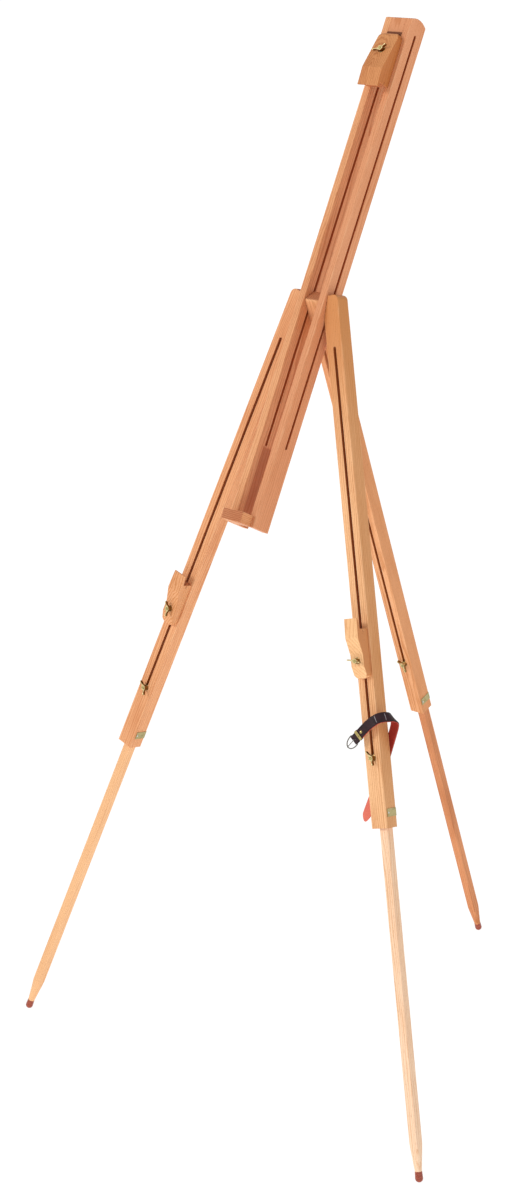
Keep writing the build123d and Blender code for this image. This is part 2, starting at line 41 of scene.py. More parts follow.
# where the sticks lie: the pivot bolt, and the frame of each stick with +Z up along it
joinery = {
    "pivot": (0.0, -0.119062, 1.317757),
    "mastLean": -27.4,
    "rearLean": 21.25695,
    "frontLean": -12.06,
    "splay": 16.9,
    "legCentre": 36.189 * mm,
    "frontBelow": 841.0,
    "rearBelow": 849.0,
    "boltUp": 113.0,
    "holderBelow": 571.5,
    "clampUp": 420.0,
}


def leaning(angle):
    return Matrix.Translation(joinery["pivot"]) @ Matrix.Rotation(math.radians(angle), 4, "X")


def splayed(side):
    out = Matrix.Translation((side * joinery["legCentre"], 0, 0))
    spread = Matrix.Rotation(math.radians(-side * joinery["splay"]), 4, "Y")
    return leaning(joinery["frontLean"]) @ out @ spread


stickFrames = {
    "mast": leaning(joinery["mastLean"]),
    "rear": leaning(joinery["rearLean"]),
    "left": splayed(-1),
    "right": splayed(1),
}
print("frame loaded:", len(nodes), "nodes")


# shader maths
class Wire:
    def __init__(self, tree, node=None, out=0):
        self.tree = tree
        self.node = node
        self.socket = node.outputs[out] if node and node.outputs else None

    def make(self, kind, settings=None, links=None, out=0):
        node = self.tree.nodes.new(kind)
        for key, value in (settings or {}).items():
            setattr(node, key, value)
        for key, value in (links or {}).items():
            if isinstance(value, Wire):
                self.tree.links.new(value.socket, node.inputs[key])
            else:
                node.inputs[key].default_value = value
        return Wire(self.tree, node, out)

    def pick(self, out):
        return Wire(self.tree, self.node, out)

    def sums(self, operation, first, second=0.0):
        return self.make("ShaderNodeMath", {"operation": operation}, {0: first, 1: second})

    def __add__(self, other):
        return self.sums("ADD", self, other)

    def __sub__(self, other):
        return self.sums("SUBTRACT", self, other)

    def __rsub__(self, other):
        return self.sums("SUBTRACT", other, self)

    def __mul__(self, other):
        return self.sums("MULTIPLY", self, other)

    def __truediv__(self, other):
        return self.sums("DIVIDE", self, other)

    def __abs__(self):
        return self.sums("ABSOLUTE", self)

    __radd__ = __add__
    __rmul__ = __mul__

    def step(self, low, high):
        return self.make("ShaderNodeMapRange", {"interpolation_type": "SMOOTHSTEP"},
                         {"Value": self, "From Min": low, "From Max": high})

    def scaled(self, factors):
        return self.make("ShaderNodeVectorMath", {"operation": "MULTIPLY"}, {0: self, 1: factors})

    def cloud(self, factors, detail=3.0, rough=0.55):
        return self.make("ShaderNodeTexNoise", {}, {"Vector": self.scaled(factors), "Scale": 1.0,
                                                    "Detail": detail, "Roughness": rough})

    def dot(self, direction):
        return self.make("ShaderNodeVectorMath", {"operation": "DOT_PRODUCT"},
                         {0: self, 1: direction}, "Value")

    def mixed(self, amount, first, second):
        return self.make("ShaderNodeMix", {"data_type": "RGBA"}, {0: amount, 6: first, 7: second}, 2)


def rgb(red, green, blue):
    return tuple(c / 12.92 if c <= 0.04045 else ((c + 0.055) / 1.055) ** 2.4
                 for c in (red / 255, green / 255, blue / 255)) + (1.0,)


def finishOf(name):
    material = bpy.data.materials.new(name)
    material.use_nodes = True
    material.node_tree.nodes.clear()
    return material, Wire(material.node_tree)


def closeFinish(material, wire, sockets, bump=None, strength=0.2, distance=0.1 * mm):
    links = dict(sockets)
    if bump is not None:
        links["Normal"] = wire.make("ShaderNodeBump", {},
                                    {"Strength": strength, "Distance": distance, "Height": bump})
    shader = wire.make("ShaderNodeBsdfPrincipled", {}, links)
    wire.make("ShaderNodeOutputMaterial", {}, {"Surface": shader})
    return material


# what the camera, a mirror or a glass sees, not what lights the scene
def seenRays(wire):
    ray = wire.make("ShaderNodeLightPath")
    mirrored = wire.sums("MAXIMUM", ray, ray.pick("Is Glossy Ray"))
    return wire.sums("MAXIMUM", mirrored, ray.pick("Is Transmission Ray"))


# place on a piece in millimetres
def spotOn(wire):
    return wire.make("ShaderNodeTexCoord", out="Object").scaled((1000.0, 1000.0, 1000.0))


def wear(objectNames, material):
    for name in objectNames:
        mesh = nodes[name].data
        mesh.materials.clear()
        mesh.materials.append(material)


# beech: sizes in millimetres across, deep and along a stick, shares of a colour,
# and pairs between which a mask grows
grain = {
    "ringSpacing": 2.7,
    "bend": 16.0,
    "sway": 5.0,
    "ringShare": 0.40,
    "toneShare": 0.9,
    "lateStart": 0.26,
    "fleckShare": 0.42,
    "fleckColour": rgb(150, 84, 44),
    "endColour": rgb(172, 96, 62),
    "rubShare": 0.22,
    "rubColour": rgb(250, 205, 160),
    "shine": 0.44,
    "specular": 0.14,
}
# painted shade in the legs: the walls of the slot and of the channel behind it are darkened where shade
# falls inside them
legShade = {
    "slotWall": (2.75, 2.95),
    "slotFront": (-13.3, -12.4),
    "slotTop": {"leg": (-67.5, -66.0), "rear": (-221.5, -220.0)},
    "slotShadeColour": rgb(164, 80, 6),
    "channelWall": (7.8, 8.1),
    "channelFront": (-4.3, -3.4),
    "channelTop": (-58.0, -57.0),
    "channelShadeColour": rgb(140, 72, 32),
}
# mast: the foot, below which end grain keeps the side-grain colour, then the painted shade on the rails'
# slot walls and between the rails below the slot
mastShade = {
    "foot": (-381.5, -380.5),
    "slotWall": (2.72, 2.9),
    "slotTop": (461.0, 462.0),
    "slotEnd": (-247.0, -246.0),
    "slotFace": 26.9,
    "slotShadeColour": rgb(168, 70, 18),
    "gapWall": (14.8, 15.2),
    "gapTop": (-250.0, -246.0),
    "gapFront": (-8.0, -4.0),
    "gapShadeColour": rgb(168, 78, 30),
}


def beech(name, place, base, late, pith, seed, half, turn, groove, fadeOrShadowBand, shadedSide):
    material, wire = finishOf(name)
    stand = place @ turn if turn else place
    euler = stand.to_euler("XYZ")
    spot = wire.make("ShaderNodeTexCoord", out="Object")
    local = wire.make("ShaderNodeMapping", {"vector_type": "TEXTURE"},
                      {"Vector": spot, "Location": stand.to_translation(), "Rotation": euler,
                       "Scale": (mm, mm, mm)})
    shift = (seed * 37.0, seed * 61.0, seed * 211.0)
    shifted = wire.make("ShaderNodeVectorMath", {"operation": "ADD"}, {0: local, 1: shift})
    axes = wire.make("ShaderNodeSeparateXYZ", {}, {0: local})
    across, deep, along = axes, axes.pick(1), axes.pick(2)
    # growth rings round a pith outside the stick, bent a little along it
    bend = shifted.cloud((0.03, 0.03, 0.0045), 2.0)
    sway = shifted.cloud((0.11, 0.11, 0.010), 3.0)
    ringX = across - pith[0] + (bend - 0.5) * grain["bend"] + along * pith[2]
    ringY = deep - pith[1] + (sway - 0.5) * grain["sway"]
    radius = wire.sums("SQRT", ringX * ringX + ringY * ringY)
    phase = wire.sums("FRACT", radius / grain["ringSpacing"])
    ring = phase.step(0.35, 0.9) * (1.0 - phase.step(0.92, 1.0))
    # long fibres, short dark flecks and slow changes of tone
    fibre = shifted.cloud((1.3, 1.3, 0.022), 4.0, 0.6)
    fleck = shifted.cloud((1.9, 1.9, 0.24), 2.0, 0.4).step(0.60, 0.72)
    tone = shifted.cloud((0.022, 0.022, 0.006), 2.0)
    normal = wire.make("ShaderNodeTexCoord", out="Normal")
    endGrain = abs(normal.dot(stand.to_3x3() @ Vector((0, 0, 1)))).step(0.72, 0.95)
    # at the rails' foot the end grain is left pale: painted light standing for light thrown up from the
    # floor
    if groove == "mast":
        endGrain = endGrain * along.step(*mastShade["foot"])
    amount = ring * grain["ringShare"] + (fibre - 0.5)
    amount = amount + (tone - 0.5) * grain["toneShare"] + grain["lateStart"]
    colour = wire.mixed(amount.step(0.0, 1.0), base, late)
    # a colour along the stick; on the top block a painted shadow band at its lower end
    if fadeOrShadowBand:
        colour = wire.mixed(along.step(fadeOrShadowBand[0], fadeOrShadowBand[1]) * fadeOrShadowBand[3], colour, fadeOrShadowBand[2])
    # painted shade on the faces turned across the stick
    if shadedSide:
        sideways = abs(normal.dot(stand.to_3x3() @ Vector((1, 0, 0))))
        colour = wire.mixed(sideways.step(0.6, 0.95) * shadedSide[1], colour, shadedSide[0])
    colour = wire.mixed(fleck * (1.0 - endGrain) * grain["fleckShare"], colour, grain["fleckColour"])
    colour = wire.mixed(endGrain * (0.55 + ring * 0.45), colour, grain["endColour"])
    rough = grain["shine"] + (fibre - 0.5) * 0.16 + endGrain * 0.12
    if half:
        corner = (half[0] - abs(across)) + (half[1] - abs(deep))
        rub = (1.0 - corner.step(0.4, 3.2)) * shifted.cloud((0.2, 0.2, 0.03), 3.0).step(0.42, 0.62)
        colour = wire.mixed(rub * grain["rubShare"], colour, grain["rubColour"])
        rough = rough - rub * 0.08
    # painted shade on the walls of the legs' slot and channel
    if groove in legShade["slotTop"]:
        shade = legShade
        slot = (1.0 - abs(across).step(*shade["slotWall"])) * deep.step(*shade["slotFront"])
        slot = slot * (1.0 - along.step(*shade["slotTop"][groove]))
        channel = (1.0 - abs(across).step(*shade["channelWall"])) * deep.step(*shade["channelFront"])
        channel = channel * (1.0 - along.step(*shade["channelTop"]))
        colour = wire.mixed(slot * 0.95, colour, shade["slotShadeColour"])
        colour = wire.mixed(channel * 0.55, colour, shade["channelShadeColour"])
    # painted shade on the walls of the rails' slots
    if groove == "mast":
        shade = mastShade
        slot = (1.0 - abs(deep).step(*shade["slotWall"])) * (1.0 - along.step(*shade["slotTop"]))
        slot = slot * along.step(*shade["slotEnd"]) * (shade["slotFace"] - abs(across)).step(0.0, 1.2)
        colour = wire.mixed(slot * 0.85, colour, shade["slotShadeColour"])
        # painted shade between the rails below the slot
        gap = (1.0 - abs(across).step(*shade["gapWall"])) * (1.0 - along.step(*shade["gapTop"]))
        colour = wire.mixed(gap * deep.step(*shade["gapFront"]) * 0.6, colour, shade["gapShadeColour"])
    height = fibre * 0.5 - fleck * 0.6 - ring * 0.25
    sockets = {"Base Color": colour, "Roughness": rough, "Specular IOR Level": grain["specular"]}
    return closeFinish(material, wire, sockets, height, 0.18, 0.12 * mm)


peach, tan = rgb(238, 175, 126), rgb(228, 160, 104)
rose, honey = rgb(226, 157, 114), rgb(246, 194, 144)
cream, russet, amber = rgb(252, 218, 186), rgb(220, 148, 100), rgb(252, 202, 148)
lateRose, lateTan, lateHoney = rgb(202, 126, 78), rgb(196, 122, 66), rgb(224, 164, 112)
lateRusset = rgb(182, 108, 62)
legHalf, mastHalf, stickHalf = (15.45, 13.5), (27.05, 20.5), (7.5, 11.4)
alongX = Matrix.Rotation(math.radians(90), 4, "Y")
alongY = Matrix.Rotation(math.radians(90), 4, "X")
# stick, early wood, late wood, pith across, deep and by slope, seed, half section, turn of the grain
timber = {
    "right_mast_rail": ("mast", rose, lateRose, (70.0, 35.0, 0.010), 1.3, mastHalf, None),
    "left_mast_rail": ("mast", peach, lateRose, (-85.0, 30.0, -0.008), 2.1, mastHalf, None),
    "mast_top_block": ("mast", rose, lateRose, (10.0, 60.0, 0.02), 3.7, None, None),
    "mast_foot_ledge": ("mast", peach, lateRose, (4.0, 30.0, 0.01), 4.2, None, alongY),
    "canvas_clamp": ("mast", tan, lateRusset, (14.0, -52.0, 0.05), 5.9, None, None),
    "clamp_back_plate": ("mast", tan, lateTan, (20.0, 50.0, 0.02), 6.4, None, alongX),
    "left_upper_leg": ("left", peach, lateRose, (-60.0, 45.0, 0.008), 7.2, legHalf, None),
    "right_upper_leg": ("right", honey, lateTan, (75.0, 50.0, -0.009), 8.8, legHalf, None),
    "rear_upper_leg": ("rear", peach, lateTan, (30.0, 80.0, 0.007), 9.5, legHalf, None),
    "left_extension": ("left", honey, lateHoney, (40.0, 30.0, 0.006), 10.1, stickHalf, None),
    "right_extension": ("right", cream, lateHoney, (-50.0, 40.0, 0.007), 11.6, stickHalf, None),
    "rear_extension": ("rear", russet, lateRusset, (45.0, -35.0, 0.006), 12.3, stickHalf, None),
    "left_canvas_holder": ("left", peach, lateTan, (35.0, 45.0, 0.03), 13.4, None, None),
    "right_canvas_holder": ("right", amber, lateHoney, (-45.0, 40.0, 0.02), 14.8, None, None),
}
grooves = {"left_mast_rail": "mast", "right_mast_rail": "mast",
           "left_upper_leg": "leg", "right_upper_leg": "leg", "rear_upper_leg": "rear"}
# another colour along a stick: from, to, colour, share; on the top block it is a painted shadow band along
# the block's lower end
fadesAndShadowBands = {"right_upper_leg": (-260.0, 10.0, rgb(206, 132, 74), 0.85),
         "mast_top_block": (459.0, 457.0, rgb(84, 34, 12), 0.85)}
# painted shade on the side faces: faces turned across the stick get a darker colour, with its share
shadedSides = {"right_canvas_holder": (rgb(200, 122, 66), 0.8), "canvas_clamp": (rgb(184, 104, 48), 0.75),
          "right_upper_leg": (rgb(204, 136, 76), 0.5), "rear_upper_leg": (rgb(204, 132, 80), 0.4)}
for piece, (place, base, late, pith, seed, half, turn) in timber.items():
    wear([piece], beech("beech_" + piece, stickFrames[place], base, late, pith, seed, half, turn,
                        grooves.get(piece), fadesAndShadowBands.get(piece), shadedSides.get(piece)))
print("beech on", len(timber), "pieces")


# metals, rubber and fibre
castLitSide = (-0.2, -0.93, 0.3)    # painted light: faces of a casting turned this way keep the bright colour, faces turned away get a painted shade


def metal(name, bright, dull, smooth, scale, tarnish=0.5, shadedSide=None):
    material, wire = finishOf(name)
    spot = spotOn(wire)
    patina = spot.cloud((scale, scale, scale), 4.0)
    pits = spot.cloud((scale * 7, scale * 7, scale * 7), 2.0)
    colour = wire.mixed(patina.step(0.42, 0.75) * tarnish, bright, dull)
    if shadedSide:
        # faces turned away from the light are painted the shaded colour
        front = wire.make("ShaderNodeTexCoord", out="Normal").dot(castLitSide)
        colour = wire.mixed(1.0 - front.step(-0.1, 0.85), colour, shadedSide)
    rough = smooth + patina.step(0.4, 0.8) * 0.18 + (pits - 0.5) * 0.08
    return closeFinish(material, wire, {"Base Color": colour, "Roughness": rough, "Metallic": 1.0},
                       pits * 0.4 + patina, 0.10, 0.06 * mm)


# the last colour of each brass is the painted shade of faces turned from the light
brass = metal("cast_brass", rgb(226, 208, 154), rgb(128, 98, 52), 0.20, 0.35, 0.6, rgb(132, 98, 50))
oldBrass = metal("old_brass", rgb(190, 172, 112), rgb(96, 82, 42), 0.25, 0.30, 0.9, rgb(96, 76, 36))
darkSteel = metal("dull_steel", rgb(128, 126, 118), rgb(70, 66, 60), 0.28, 0.4, 0.8)
steel = metal("zinc_steel", rgb(214, 214, 210), rgb(136, 134, 130), 0.20, 0.4)
bandMetal = metal("pale_band", rgb(180, 168, 122), rgb(136, 122, 78), 0.42, 0.22)

legs = ("left", "right", "rear")
sides = ("left", "right")
wear([f"{leg}_extension_washer" for leg in legs] + [f"{side}_holder_washer" for side in sides]
     + ["clamp_washer"], brass)
hingeParts = ("bolt_leaf", "leg_leaf", "hinge_pin", "leaf_screws")
wear([f"{leg}_band_pins" for leg in legs] + ["pivot_bolt", "pivot_nut", "strap_screw"]
     + [f"{side}_{part}" for side in sides for part in hingeParts], steel)
wear([f"{leg}_leg_band" for leg in legs], bandMetal)


def footRubber():
    material, wire = finishOf("foot_rubber")
    spot = spotOn(wire)
    scuff = spot.cloud((0.5, 0.5, 0.5), 4.0)
    dust = spot.cloud((2.5, 2.5, 2.5), 2.0)
    colour = wire.mixed(scuff.step(0.35, 0.75), rgb(140, 56, 34), rgb(176, 82, 54))
    rough = 0.16 + scuff * 0.22 + (dust - 0.5) * 0.1
    return closeFinish(material, wire, {"Base Color": colour, "Roughness": rough}, dust * 0.5 + scuff, 0.12)


def fibreDisc():
    material, wire = finishOf("red_fibre")
    spot = spotOn(wire)
    fluff = spot.cloud((1.5, 1.5, 1.5), 4.0)
    colour = wire.mixed(fluff, rgb(110, 36, 26), rgb(150, 60, 44))
    return closeFinish(material, wire, {"Base Color": colour, "Roughness": 0.7 + fluff * 0.2}, fluff, 0.2)


wear([f"{leg}_foot_cap" for leg in legs], footRubber())
wear(["friction_washers"], fibreDisc())


# mesh helpers
def newPiece(name, bm, place, material, body, stands, smooth=40.0):
    bm.transform(Matrix.Scale(mm, 4))
    bm.transform(place)
    bmesh.ops.recalc_face_normals(bm, faces=bm.faces)
    mesh = bpy.data.meshes.new(name)
    bm.to_mesh(mesh)
    bm.free()
    piece = bpy.data.objects.new(name, mesh)
    bpy.context.scene.collection.objects.link(piece)
    mesh.materials.append(material)
    mesh.shade_smooth()
    mesh.set_sharp_from_angle(angle=math.radians(smooth))
    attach(piece, body)
    if stands:
        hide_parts(*stands)
    return piece


def spun(profile, steps=32):
    bm = bmesh.new()
    rim = [bm.verts.new((radius, 0, height)) for radius, height in profile]
    edges = [bm.edges.new(pair) for pair in zip(rim, rim[1:])]
    bmesh.ops.spin(bm, geom=rim + edges, axis=(0, 0, 1), cent=(0, 0, 0), angle=math.tau, steps=steps,
                   use_merge=True)
    bmesh.ops.remove_doubles(bm, verts=bm.verts, dist=1e-4)
    return bm


def frontOf(place, y, z, turn=0.0):
    stand = Matrix.Translation((0, y * mm, z * mm)) @ Matrix.Rotation(math.radians(90), 4, "X")
    return place @ stand @ Matrix.Rotation(math.radians(turn), 4, "Z")


# wing nuts
wingNut = {
    "base": 5.4,
    "neck": 4.4,
    "height": 6.5,
    "bore": 2.55,
    "thick": 2.4,
    "rootOut": 3.2,
    "rootHalf": 0.6,
    "rootLow": 2.2,
    "rootHigh": 6.2,
    # out, low, high and share of the thickness at each station of a wing
    "stations": ((6.6, 3.0, 8.4, 0.85), (8.8, 3.5, 10.3, 0.8),
                 (11.6, 4.5, 11.0, 0.95), (13.0, 5.4, 10.2, 0.8)),
    "rimCrease": 0.75,
    "boreCrease": 0.6,
}


def wingNutShape():
    w = wingNut
    bm = bmesh.new()
    crease = bm.edges.layers.float.new("crease_edge")
    upright = Matrix.Translation((0, 0, w["height"] / 2)) @ Matrix.Rotation(math.pi / 8, 4, "Z")
    bmesh.ops.create_cone(bm, cap_ends=False, segments=8, radius1=w["base"], radius2=w["neck"],
                          depth=w["height"], matrix=upright)
    rising = [e for e in bm.edges if abs(e.verts[0].co.z - e.verts[1].co.z) > 1]
    bmesh.ops.subdivide_edges(bm, edges=rising, cuts=3, use_grid_fill=True)
    # each wing grows out of the upper faces of one side, up and outward
    centres = {f: f.calc_center_median() for f in bm.faces}
    for side in (-1, 1):
        roots = [f for f, c in centres.items() if c.x * side > w["rootOut"] and abs(c.y) < w["rootHalf"]
                 and w["rootLow"] < c.z < w["rootHigh"]]
        grown = roots
        for out, low, high, thin in w["stations"]:
            grown = bmesh.ops.extrude_face_region(bm, geom=grown)["geom"]
            bmesh.ops.delete(bm, geom=roots, context="FACES")
            verts = [v for v in grown if isinstance(v, bmesh.types.BMVert)]
            roots = [f for f in grown if isinstance(f, bmesh.types.BMFace)]
            floor = min(v.co.z for v in verts)
            tall = max(v.co.z for v in verts) - floor
            for v in verts:
                v.co.x = side * out
                v.co.z = low + (v.co.z - floor) / tall * (high - low)
                v.co.y = math.copysign(w["thick"] / 2 * thin, v.co.y)
            grown = roots
    rims = [[e for e in bm.edges if e.is_boundary and all(abs(v.co.z - z) < 0.01 for v in e.verts)]
            for z in (0.0, w["height"])]
    loops = []
    for rim in rims:
        for e in rim:
            e[crease] = w["rimCrease"]
        inner = bmesh.ops.extrude_edge_only(bm, edges=rim)["geom"]
        for v in inner:
            if isinstance(v, bmesh.types.BMVert):
                grip = w["bore"] / math.hypot(v.co.x, v.co.y)
                v.co.x *= grip
                v.co.y *= grip
        ring = [e for e in inner if isinstance(e, bmesh.types.BMEdge) and e.is_boundary]
        for e in ring:
            e[crease] = w["boreCrease"]
        loops += ring
    bmesh.ops.bridge_loops(bm, edges=loops)
    return bm


def addWingNut(name, place, body):
    piece = newPiece(name + "_cast", wingNutShape(), place, brass, body, [name], 60.0)
    rounding = piece.modifiers.new("rounding", "SUBSURF")
    rounding.levels = rounding.render_levels = 3
    return piece


# bolts
bolt = {
    "radius": 2.5,
    "root": 2.1,
    "pitch": 0.8,
    "head": 5.0,
    "headThick": 2.0,
    "rim": 0.35,
    "threadPast": 12.0,
    "square": (10.0, 10.0, 1.9),
    "squareMiddle": -1.0,
}


# rows of a dome a quarter round, from just beside its top
def domeRows(radius, height):
    return [(radius * math.sin(t * math.pi / 12), height * math.cos(t * math.pi / 12)) for t in range(1, 6)]


def boltShape(grip, threaded):
    b = bolt
    profile = [(0.0, -b["headThick"])] + domeRows(b["head"], -b["headThick"])
    profile += [(b["head"], -b["rim"]), (b["head"], 0.0), (b["radius"], 0.0)]
    profile += [(b["radius"], grip - threaded)]
    height = grip - threaded
    while height < grip - b["pitch"]:
        profile += [(b["root"], height + b["pitch"] * 0.5), (b["radius"], height + b["pitch"])]
        height += b["pitch"]
    profile += [(b["root"], grip), (0.0, grip)]
    return spun(profile)


# y of each nut's seat and of its bolt's head, in the frame of the stick
hardware = {
    "washer": 1.0,
    "gap": 0.03,
    "nut": 6.5,
    "tail": 1.0,
    "extension": (-13.5, 11.4),
    "holder": (-31.35, -3.9),
    "clamp": (-37.95, 28.55),
    "extensionTurn": {"left": 48.0, "right": -64.0, "rear": 120.0},
    "holderTurn": {"left": 65.0, "right": -13.0},
    "clampTurn": 26.0,
}


def addFastener(name, kind, place, height, turn, body, nutBody):
    seat, head = hardware[kind]
    top = hardware["washer"] + hardware["nut"] + hardware["tail"]
    under = seat - hardware["washer"] - hardware["gap"]
    addWingNut(f"{name}_wing_nut", frontOf(place, under, height, turn), nutBody)
    shape = boltShape(head - seat + top, top + bolt["threadPast"])
    if kind == "holder":
        # a square head, which rides in the leg's channel
        square = Matrix.Translation((0, 0, bolt["squareMiddle"])) @ Matrix.Diagonal(bolt["square"] + (1.0,))
        bmesh.ops.create_cube(shape, size=1.0, matrix=square)
    newPiece(f"{name}_bolt_spun", shape, frontOf(place, head, height), oldBrass, body,
             [f"{name}_bolt"])


for leg in legs:
    below = joinery["rearBelow"] if leg == "rear" else joinery["frontBelow"]
    turn = hardware["extensionTurn"][leg]
    addFastener(f"{leg}_extension", "extension", stickFrames[leg], joinery["boltUp"] - below,
                -turn if leg == "left" else turn, f"{leg}_extension", f"{leg}_extension_nut")
for side in sides:
    turn = hardware["holderTurn"][side]
    addFastener(f"{side}_holder", "holder", stickFrames[side], -joinery["holderBelow"],
                -turn if side == "left" else turn, f"{side}_holder", f"{side}_holder_nut")
addFastener("clamp", "clamp", stickFrames["mast"], joinery["clampUp"], hardware["clampTurn"],
            "clamp", "clamp_nut")
print("wing nuts and bolts made")


# carrying strap
strap = {
    "width": 16.0,
    "outer": 1.6,
    "inner": 1.0,
    "columns": (-1.0, -0.86, -0.5, -0.16, 0.16, 0.5, 0.86, 1.0),
    "spacing": 5.0,
    "holes": (206.0, 218.0, 230.0),
    "holeHalf": 1.5,
    "pointLength": 12.3,
    "barAway": 2.0,
    "middle": 0.3,
    "tip": 0.12,
    "liningLower": 0.7,
    # creases across the strap: each a dent with a painted sheen along it
    "creasesWithSheen": (45.0, 61.0),
    "slitRows": (1, 8),
    "rim": (6.6, 8.0),
    # the lining along its length: painted shade where it wraps behind the leg, paler on the tail
    "shadeFrom": (40.0, 60.0),
    "shadeTo": (140.0, 165.0),
    "paleFrom": (165.0, 195.0),
}
# place across and in depth, height over the end of the leg, then the way to the strap's upper edge
strapRoute = [
    ((-18.85, -31.0, 145.5), (-0.61, 0, 0.79)), ((-5.25, -31.0, 155.9), (-0.62, 0, 0.78)),
    ((6.45, -30.6, 164.6), (-0.56, 0, 0.83)), ((17.55, -29.4, 171.4), (-0.48, 0, 0.88)),
    ((25.95, -25.6, 175.9), (-0.29, 0, 0.96)), ((32.95, -20.0, 177.2), (-0.22, 0, 0.98)),
    ((37.25, -13.0, 176.5), (-0.33, 0, 0.94)), ((37.55, -3.0, 174.9), (-0.54, 0, 0.84)),
    ((34.95, 6.2, 169.4), (-0.79, -0.06, 0.60)), ((28.95, 13.0, 160.1), (-0.92, 0.02, 0.37)),
    ((18.25, 15.4, 140.7), (-0.95, 0.02, 0.30)), ((11.65, 14.6, 126.2), (-0.96, 0, 0.29)),
    ((7.95, 14.6, 118.6), (-0.96, 0, 0.28)), ((-9.15, 14.8, 85.1), (-0.95, 0, 0.30)),
    ((-26.75, 15.4, 51.7), (-0.95, 0, 0.31)), ((-45.05, 16.0, 20.7), (-0.95, 0, 0.31)),
    ((-50.25, 16.2, 9.6), (-0.95, 0, 0.31)),
]
routeSpots = [Vector((x, y, up - joinery["frontBelow"])) for (x, y, up), edge in strapRoute]
routeEdges = [Vector(edge).normalized() for spot, edge in strapRoute]
# frame of the strap's end: x away to the buckle, y across, z outward
away = (routeSpots[0] - routeSpots[1]).normalized()
outward = Vector((0, -1, 0))
endAxes = Matrix((away, outward.cross(away), outward)).transposed().to_4x4()
strapEnd = Matrix.Translation(routeSpots[0] * mm) @ endAxes
# the strap's end goes back under itself round the bar of the buckle
foldPath = ((-5.0, -1.15), (-1.5, -1.15), (1.0, -0.95), (2.5, -0.5), (2.95, 0.3), (2.5, 1.0), (1.2, 1.0),
            (-1.5, 0.35), (-6.0, 0.0))
foldSpots = [routeSpots[0] + away * x + outward * z for x, z in foldPath]
outerSpots = foldSpots + routeSpots[1:]
outerEdges = [routeEdges[0]] * len(foldSpots) + routeEdges[1:]


class Ribbon:
    def __init__(self, spots, edges):
        self.spots = spots
        self.edges = edges
        self.lengths = [0.0]
        for first, second in zip(spots, spots[1:]):
            self.lengths.append(self.lengths[-1] + (second - first).length)
        self.length = self.lengths[-1]

    def spot(self, distance):
        index = max(i for i in range(len(self.spots) - 1) if self.lengths[i] <= distance + 1e-9)
        share = (distance - self.lengths[index]) / (self.lengths[index + 1] - self.lengths[index])
        last = len(self.spots) - 1
        before, here, there, after = (self.spots[min(max(index + k, 0), last)] for k in (-1, 0, 1, 2))
        spot = 0.5 * (2 * here + (there - before) * share
                      + (2 * before - 5 * here + 4 * there - after) * share ** 2
                      + (3 * here - before - 3 * there + after) * share ** 3)
        ease = share * share * (3 - 2 * share)
        return spot, self.edges[index].lerp(self.edges[index + 1], ease).normalized()

    def row(self, distance):
        spot, edge = self.spot(distance)
        ahead = self.spot(min(distance + 1.0, self.length))[0]
        along = (ahead - self.spot(max(distance - 1.0, 0.0))[0]).normalized()
        return spot, edge / along.cross(edge).length


def strapBand(ribbon, holes, lower, slit):
    s = strap
    steps = round(ribbon.length / s["spacing"])
    stops = {ribbon.length * k / steps for k in range(steps + 1)}
    for hole in holes:
        stops = {d for d in stops if abs(d - hole) > s["holeHalf"] * 1.6}
        stops |= {hole - s["holeHalf"], hole + s["holeHalf"]}
    stops |= {ribbon.length - s["pointLength"] * share for share in (1.0, 0.66, 0.33)}
    stops |= set(slit)
    stops = sorted(d for d in stops if d in slit or not slit or d == 0.0 or d > slit[-1] + 1.5)
    bm = bmesh.new()
    column = bm.verts.layers.int.new("column")
    along = bm.verts.layers.float.new("along")
    sideways = bm.verts.layers.float.new("sideways")
    row = []
    for number in range(len(s["columns"])):
        vert = bm.verts.new()
        vert[column] = number
        row.append(vert)
    edges = [bm.edges.new(pair) for pair in zip(row, row[1:])]

    def settle(verts, distance):
        spot, across = ribbon.row(distance)
        half = s["width"] / 2
        left = ribbon.length - distance
        if left < s["pointLength"]:
            half *= s["tip"] + (1.0 - s["tip"]) * left / s["pointLength"]
        for v in verts:
            part = s["columns"][v[column]]
            reach = half * part - (lower if part < -0.9 else 0.0)
            v.co = spot + across * reach
            v[along] = distance
            v[sideways] = reach

    settle(row, stops[0])
    for before, distance in zip(stops, stops[1:]):
        grown = bmesh.ops.extrude_edge_only(bm, edges=edges)["geom"]
        verts = [v for v in grown if isinstance(v, bmesh.types.BMVert)]
        faces = [f for f in grown if isinstance(f, bmesh.types.BMFace)]
        fresh = set(verts)
        edges = [e for e in grown if isinstance(e, bmesh.types.BMEdge) and set(e.verts) <= fresh]
        settle(verts, distance)
        between = (before + distance) / 2
        if any(abs(between - hole) < 0.01 for hole in holes) or slit and slit[0] < between < slit[-1]:
            middle = min(faces, key=lambda f: abs(sum(v[sideways] for v in f.verts)))
            bmesh.ops.delete(bm, geom=[middle], context="FACES_ONLY")
    return bm


def addStrap(name, bm, material, stands, thick, offset):
    piece = newPiece(name, bm, stickFrames["right"], material, "right_leg", stands, 180.0)
    wall = piece.modifiers.new("wall", "SOLIDIFY")
    wall.thickness = thick * mm
    wall.offset = offset
    wall.use_even_offset = True
    soft = piece.modifiers.new("soft", "SUBSURF")
    soft.levels = soft.render_levels = 2
    return piece


